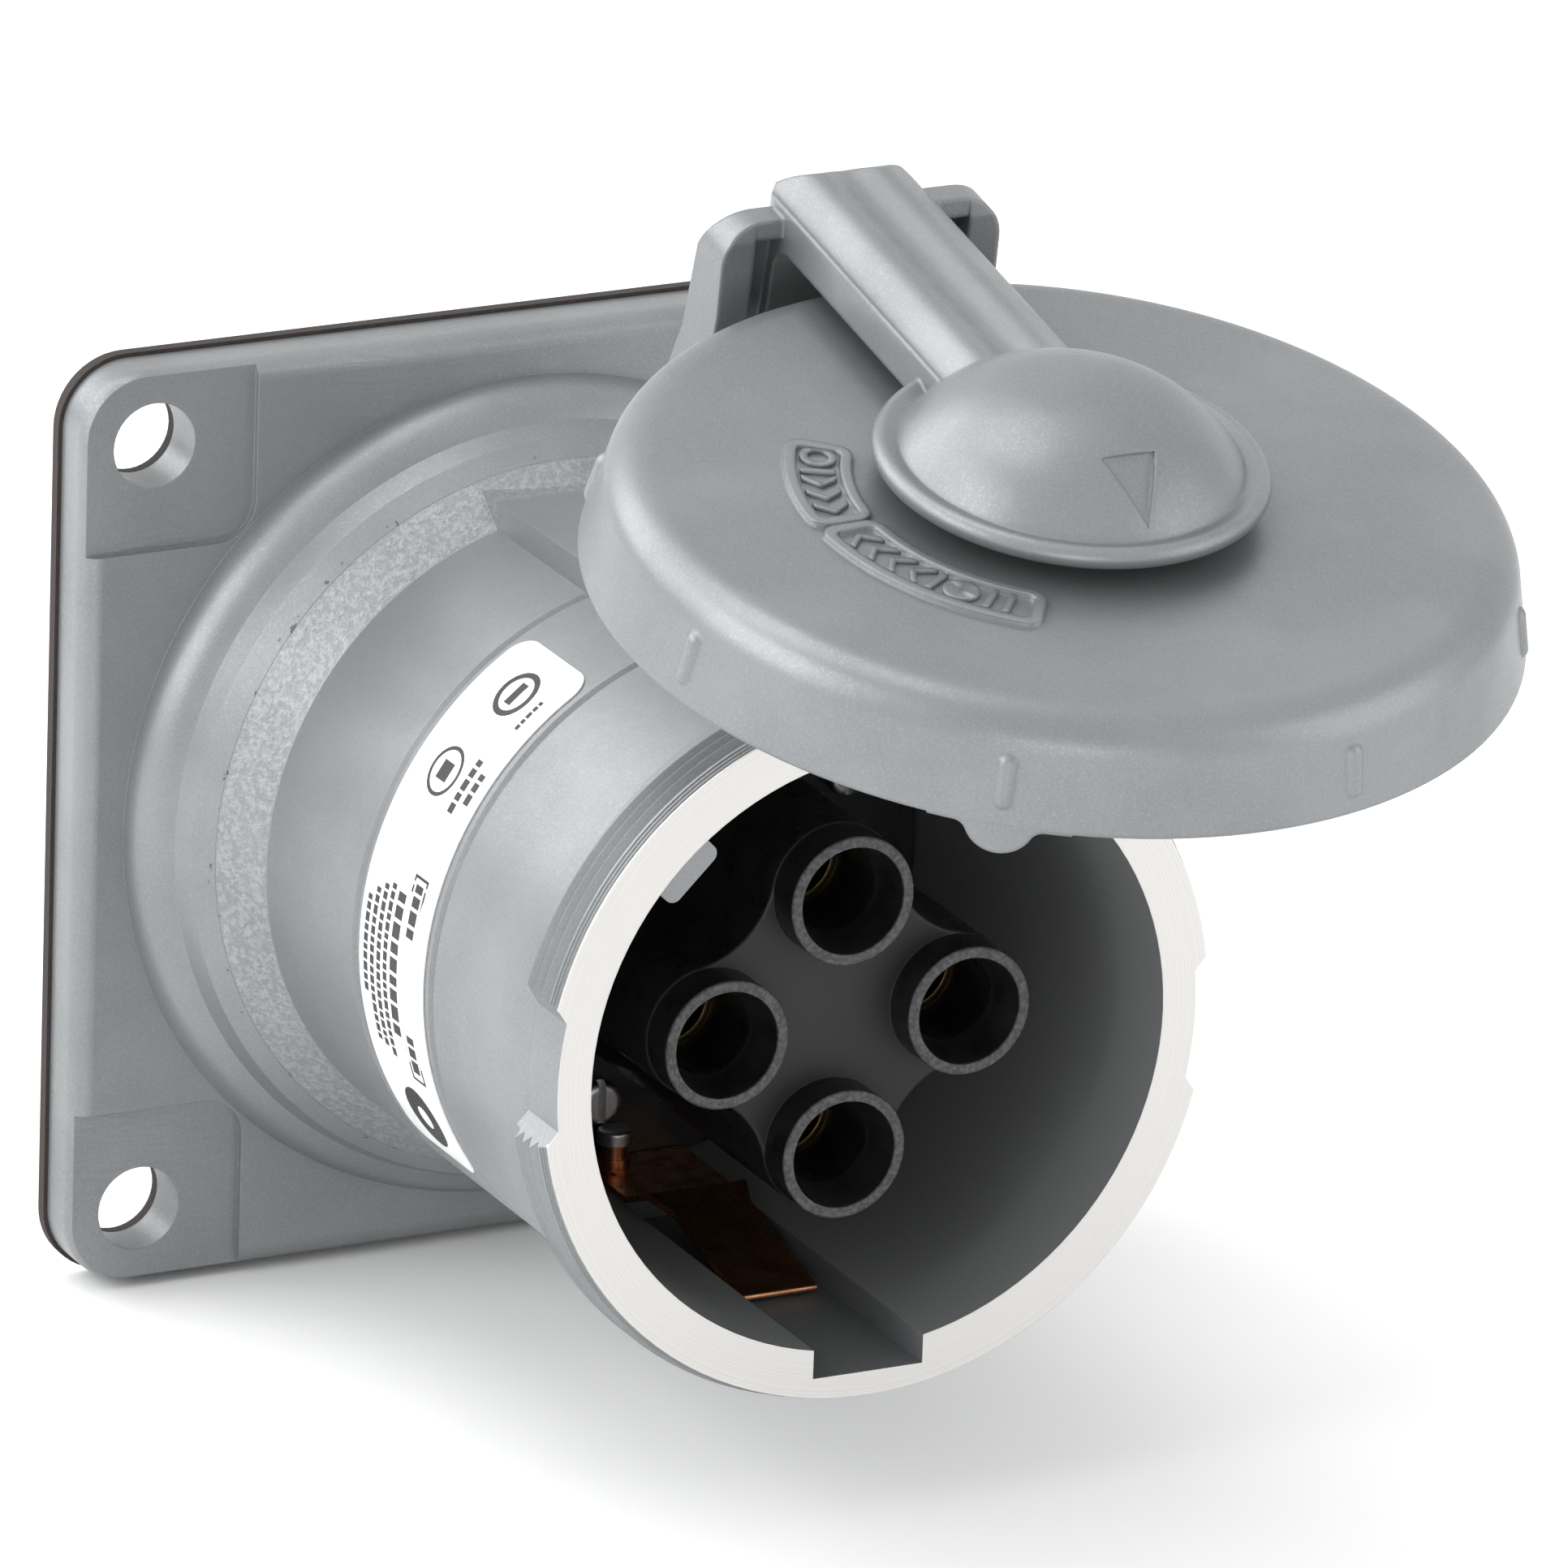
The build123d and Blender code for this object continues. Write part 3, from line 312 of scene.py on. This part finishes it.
def rivet_metals():
    """A copper shank under a steel head."""
    s = Shader("rivet_metals")
    s.soft_edges(0.15)
    split = s.tree.nodes.new("ShaderNodeSeparateXYZ")
    s.put(split.inputs[0], s.at)
    head = s.span(split.outputs[2], RIVET_HEAD_Z - 0.05, RIVET_HEAD_Z + 0.05)
    cloud = s.noise(0.8, 3.0)
    shank = s.mix(s.span(cloud, 0.3, 0.7), (0.36, 0.15, 0.07), (0.60, 0.29, 0.15))
    cover = s.mix(s.span(cloud, 0.3, 0.7), (0.50, 0.50, 0.51), (0.66, 0.66, 0.66))
    s.bump(s.noise(4.0, 3.0, 0.6), 0.008, 0.8)
    s.set(base_color=s.mix(head, shank, cover), roughness=s.span(cloud, 0.3, 0.7, 0.42, 0.28),
          metallic=1.0)
    return s.material


def rubber():
    s = Shader("dark_rubber")
    mottle = s.noise(0.8, 4.0, 0.6)
    dust = s.span(s.noise(2.5, 4.0, 0.7), 0.55, 0.75)
    colour = s.mix(s.span(mottle, 0.3, 0.7), (0.022, 0.017, 0.015), (0.040, 0.032, 0.028))
    colour = s.mix(s.math("MULTIPLY", dust, 0.35), colour, (0.12, 0.10, 0.09))
    s.bump(s.noise(2.0, 4.0, 0.6), 0.06, 0.7)
    s.set(base_color=colour, roughness=s.span(mottle, 0.3, 0.7, 0.72, 0.88))
    return s.material


def sticker():
    s = Shader("white_label")
    fibre = s.noise(0.6, 3.0)
    s.bump(s.noise(1.5, 2.0), 0.01, 0.6)
    s.set(base_color=s.mix(s.span(fibre, 0.3, 0.7), (0.84, 0.845, 0.85), (0.88, 0.885, 0.89)),
          roughness=s.span(fibre, 0.3, 0.7, 0.30, 0.38), coat_weight=0.25, coat_roughness=0.15)
    return s.material


def ink():
    s = Shader("label_ink")
    wear = s.noise(2.2, 4.0, 0.7)
    s.set(base_color=s.mix(s.span(wear, 0.55, 0.75), (0.012, 0.012, 0.013), (0.06, 0.06, 0.06)),
          roughness=s.span(wear, 0.3, 0.7, 0.35, 0.5))
    return s.material


def green_plating():
    s = Shader("green_screw_finish")
    cloud = s.noise(0.7, 3.0)
    s.bump(s.noise(3.0, 2.0), 0.01, 0.6)
    s.set(base_color=s.mix(s.span(cloud, 0.3, 0.7), (0.02, 0.12, 0.04), (0.04, 0.20, 0.07)),
          roughness=s.span(cloud, 0.3, 0.7, 0.30, 0.42), metallic=0.5)
    return s.material


casting = painted_arm()
housing = housing_paint()
steel = metal("zinc_steel", (0.50, 0.50, 0.51), (0.66, 0.66, 0.66))
copper = metal("bare_copper", (0.42, 0.19, 0.09), (0.66, 0.33, 0.17), stain=(0.07, 0.035, 0.02))
# painted shade: the contacts' brass is darkened, standing in for the shade deep inside the sleeves
shaded_brass = metal("contact_brass_painted_shade", (0.16, 0.11, 0.05), (0.30, 0.22, 0.10))
seal = rubber()
black = phenolic()

FINISHES = {
    "mounting_flange": housing, "barrel": housing, "lid_arm": casting, "cap": casting,
    "flange_gasket": seal,
    "cap_gasket": seal, "insulator_front": black, "insulator_rear": black, "nameplate": sticker(),
    "ground_spring": copper, "ground_lug": copper, "ground_spring_rivet": rivet_metals(),
    "ground_screw": green_plating(), "contact_top": shaded_brass, "contact_left": shaded_brass,
    "contact_right": shaded_brass, "contact_bottom": shaded_brass,
}
for name, node in frame["nodes"].items():
    node.data.materials.clear()
    node.data.materials.append(FINISHES.get(name, steel))


# ---- print on the label -------------------------------------------------------------
def flat_piece(name, outlines, place, thickness, material, body, step=2.0):
    """Thin raised marks from convex outlines (lists of (u, v) in millimetres), each one a closed
    prism, put on a surface by place(u, v, height)."""
    mesh = bmesh.new()
    for outline in outlines:
        area = sum(a[0] * b[1] - b[0] * a[1] for a, b in zip(outline, outline[1:] + outline[:1]))
        if area < 0:
            outline = outline[::-1]
        points = []
        for start, end in zip(outline, outline[1:] + outline[:1]):
            pieces = max(1, int((Vector(end) - Vector(start)).length / step))
            points += [Vector(start).lerp(Vector(end), i / pieces) for i in range(pieces)]
        low, high = ([mesh.verts.new(place(p.x, p.y, h) * MM) for p in points]
                     for h in (0.0, thickness))
        faces = [mesh.faces.new(high), mesh.faces.new(low[::-1])]
        for i in range(len(points)):
            k = (i + 1) % len(points)
            mesh.faces.new((low[i], low[k], high[k], high[i]))
        bmesh.ops.triangulate(mesh, faces=faces)
    data = bpy.data.meshes.new(name)
    mesh.to_mesh(data)
    mesh.free()
    piece = bpy.data.objects.new(name, data)
    bpy.context.scene.collection.objects.link(piece)
    data.materials.append(material)
    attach(piece, body)
    return piece


def bar(u, v, length, width):
    return [(u, v), (u + length, v), (u + length, v + width), (u, v + width)]


def ring(u, v, outer, inner, start=0.0, end=360.0):
    """A ring, or part of one, as short wedges."""
    count = max(4, int((end - start) / 15))
    angles = [radians(start + (end - start) * i / count) for i in range(count + 1)]
    wedges = []
    for a, b in zip(angles, angles[1:]):
        corners = ((inner, a), (outer, a), (outer, b), (inner, b))
        wedges.append([(u + radius * cos(angle), v + radius * sin(angle)) for radius, angle in corners])
    return wedges


def outline_box(u, v, length, height, line):
    return [bar(u, v, length, line), bar(u, v + height - line, length, line),
            bar(u, v + line, line, height - 2 * line),
            bar(u + length - line, v + line, line, height - 2 * line)]


def text_line(u, v, length, height, rhythm):
    """Printed copy too small to read, as a row of plain dashes."""
    dashes, at, count = [], u, 0
    while at < u + length - rhythm:
        dash = rhythm * (0.75 + 0.5 * ((count * 7) % 5) / 4)
        dashes.append(bar(at, v, min(dash, u + length - at), height))
        at += dash + rhythm * 0.35
        count += 1
    return dashes


def on_label(u, v, height):
    """u runs along the label from its upper end, v from its rear edge."""
    angle = radians(LABEL_ANGLES[0]) + u / LABEL_R
    radius = LABEL_R + 0.01 + height
    return Vector((radius * cos(angle), -(LABEL_DEPTHS[0] + v), radius * sin(angle)))


label_marks = ring(6.6, 8.6, 3.3, 2.5) + [bar(5.0, 7.9, 3.2, 1.4)] + text_line(5.6, 13.6, 4.4, 0.7, 0.7)
label_marks += ring(18.6, 7.2, 3.2, 2.7) + [bar(17.4, 6.0, 2.4, 2.4)]
label_marks += text_line(15.2, 11.9, 7.4, 1.2, 1.1) + text_line(16.4, 14.1, 5.2, 1.2, 1.1)
for row, (start, length) in enumerate(((36.0, 13.0), (34.6, 19.5), (33.6, 20.5), (33.0, 21.5))):
    label_marks += text_line(start, 1.2 + 1.75 * row, length, 1.0, 0.9)
label_marks += text_line(33.4, 8.3, 19.0, 1.9, 1.5)
label_marks += outline_box(30.4, 11.0, 25.6, 3.4, 0.35) + text_line(31.4, 11.8, 7.0, 1.8, 1.3)
label_marks += text_line(50.0, 11.8, 5.2, 1.8, 1.3) + ring(62.5, 9.0, 4.2, 1.6)
flat_piece("nameplate_print", label_marks, on_label, 0.02, ink(), "housing")

# ---- raised marks on the cap --------------------------------------------------------
turn = next(j for j in frame["joints"] if j["name"] == "cap_turn")
CAP_AT = Vector(turn["pos_m"]) / MM
CAP_UP = Vector(turn["axis"]).normalized()
CAP_X = Vector((1, 0, 0))
CAP_V = CAP_UP.cross(CAP_X)
MARK_R = 27.8


def on_cap(u, v, height):
    return CAP_AT + CAP_X * u + CAP_V * v + CAP_UP * (CAP_FACE - 0.05 + height)


def turned_mark(outlines, angle):
    """Outlines drawn about (0, 0), u along the circle, moved to their place on the cap's ring."""
    a = radians(angle)
    along, out = Vector((-sin(a), cos(a))), Vector((cos(a), sin(a)))
    return [[tuple(out * (MARK_R + v) + along * u) for u, v in outline] for outline in outlines]


def chevron(direction):
    """An arrow head as two slanted strokes."""
    d = direction
    return [[(0.9 * d, 0.0), (0.0, 0.0), (-1.6 * d, side), (-0.7 * d, side)] for side in (2.0, -2.0)]


stroke = [bar(-0.4, -2.0, 0.8, 4.0)]
cap_marks = []
for angle, mark in ((151.5, ring(0, 0, 2.1, 1.2)), (158.2, stroke),
                    (163.5, chevron(1)), (169.5, chevron(1)), (175.5, chevron(1)),
                    (189.0, chevron(-1)), (195.0, chevron(-1)), (201.0, chevron(-1)),
                    (207.0, chevron(-1)), (212.5, stroke), (219.0, ring(0, 0, 2.1, 0.02)),
                    (226.0, stroke), (230.5, stroke)):
    cap_marks += turned_mark(mark, angle)
flat_piece("cap_index_marks", cap_marks, on_cap, 0.5, casting, "cap", step=4.0)


# ---- studio -------------------------------------------------------------------------
def studio():
    """A pale floor under the object, a white world and five soft lights, brightest from the left."""
    low, high = cad_box
    bpy.ops.mesh.primitive_plane_add(size=8.0, location=(0, 0, low[2] - 0.0005))
    floor = bpy.context.object
    floor.name = "floor"
    s = Shader("floor_paper")
    s.set(base_color=s.mix(s.noise(0.01, 2.0), (0.92, 0.92, 0.92), (0.95, 0.95, 0.95)), roughness=0.9)
    floor.data.materials.append(s.material)

    world = bpy.data.worlds.new("studio")
    bpy.context.scene.world = world
    world.use_nodes = True
    world.node_tree.nodes["Background"].inputs["Color"].default_value = (1.0, 1.0, 1.0, 1.0)
    world.node_tree.nodes["Background"].inputs["Strength"].default_value = 0.98

    centre = (Vector(low) + Vector(high)) / 2
    for name, direction, size, power in (
            ("key", (-1.2, 0.05, 0.65), 1.0, 9.0),
            ("back", (-0.7, 1.0, 0.7), 1.0, 8.0),
            ("fill", (0.9, -0.7, 0.35), 0.9, 2.6),
            ("low", (-0.45, -1.2, -0.02), 0.5, 2.2),
            ("top", (-0.3, 0.3, 1.2), 0.8, 4.2)):
        light = bpy.data.lights.new(name, "AREA")
        light.size = size
        light.energy = power
        lamp = bpy.data.objects.new(name, light)
        lamp.location = centre + Vector(direction)
        lamp.rotation_euler = Vector(direction).to_track_quat("Z", "Y").to_euler()
        bpy.context.scene.collection.objects.link(lamp)
    bpy.context.scene.view_settings.view_transform = "Standard"


def camera():
    """A long lens from the left and above, as the object is usually pictured."""
    azimuth, elevation, roll = radians(-26.87), radians(19.63), radians(1.98)
    distance, aside, rise = 2.03814, 0.03556, -0.00275
    back = Vector((sin(azimuth) * cos(elevation), -cos(azimuth) * cos(elevation), sin(elevation)))
    right = Vector((cos(azimuth), sin(azimuth), 0))
    up = back.cross(right)
    x_axis = right * cos(roll) + up * sin(roll)
    y_axis = up * cos(roll) - right * sin(roll)
    data = bpy.data.cameras.new("camera")
    data.sensor_width = 36.0
    data.lens = 393.06
    data.clip_start, data.clip_end = 0.1, 50.0
    view = bpy.data.objects.new("camera", data)
    place = back * distance + x_axis * aside + y_axis * rise
    view.matrix_world = Matrix((
        (x_axis.x, y_axis.x, back.x, place.x), (x_axis.y, y_axis.y, back.y, place.y),
        (x_axis.z, y_axis.z, back.z, place.z), (0, 0, 0, 1)))
    bpy.context.scene.collection.objects.link(view)
    bpy.context.scene.camera = view


studio()
camera()
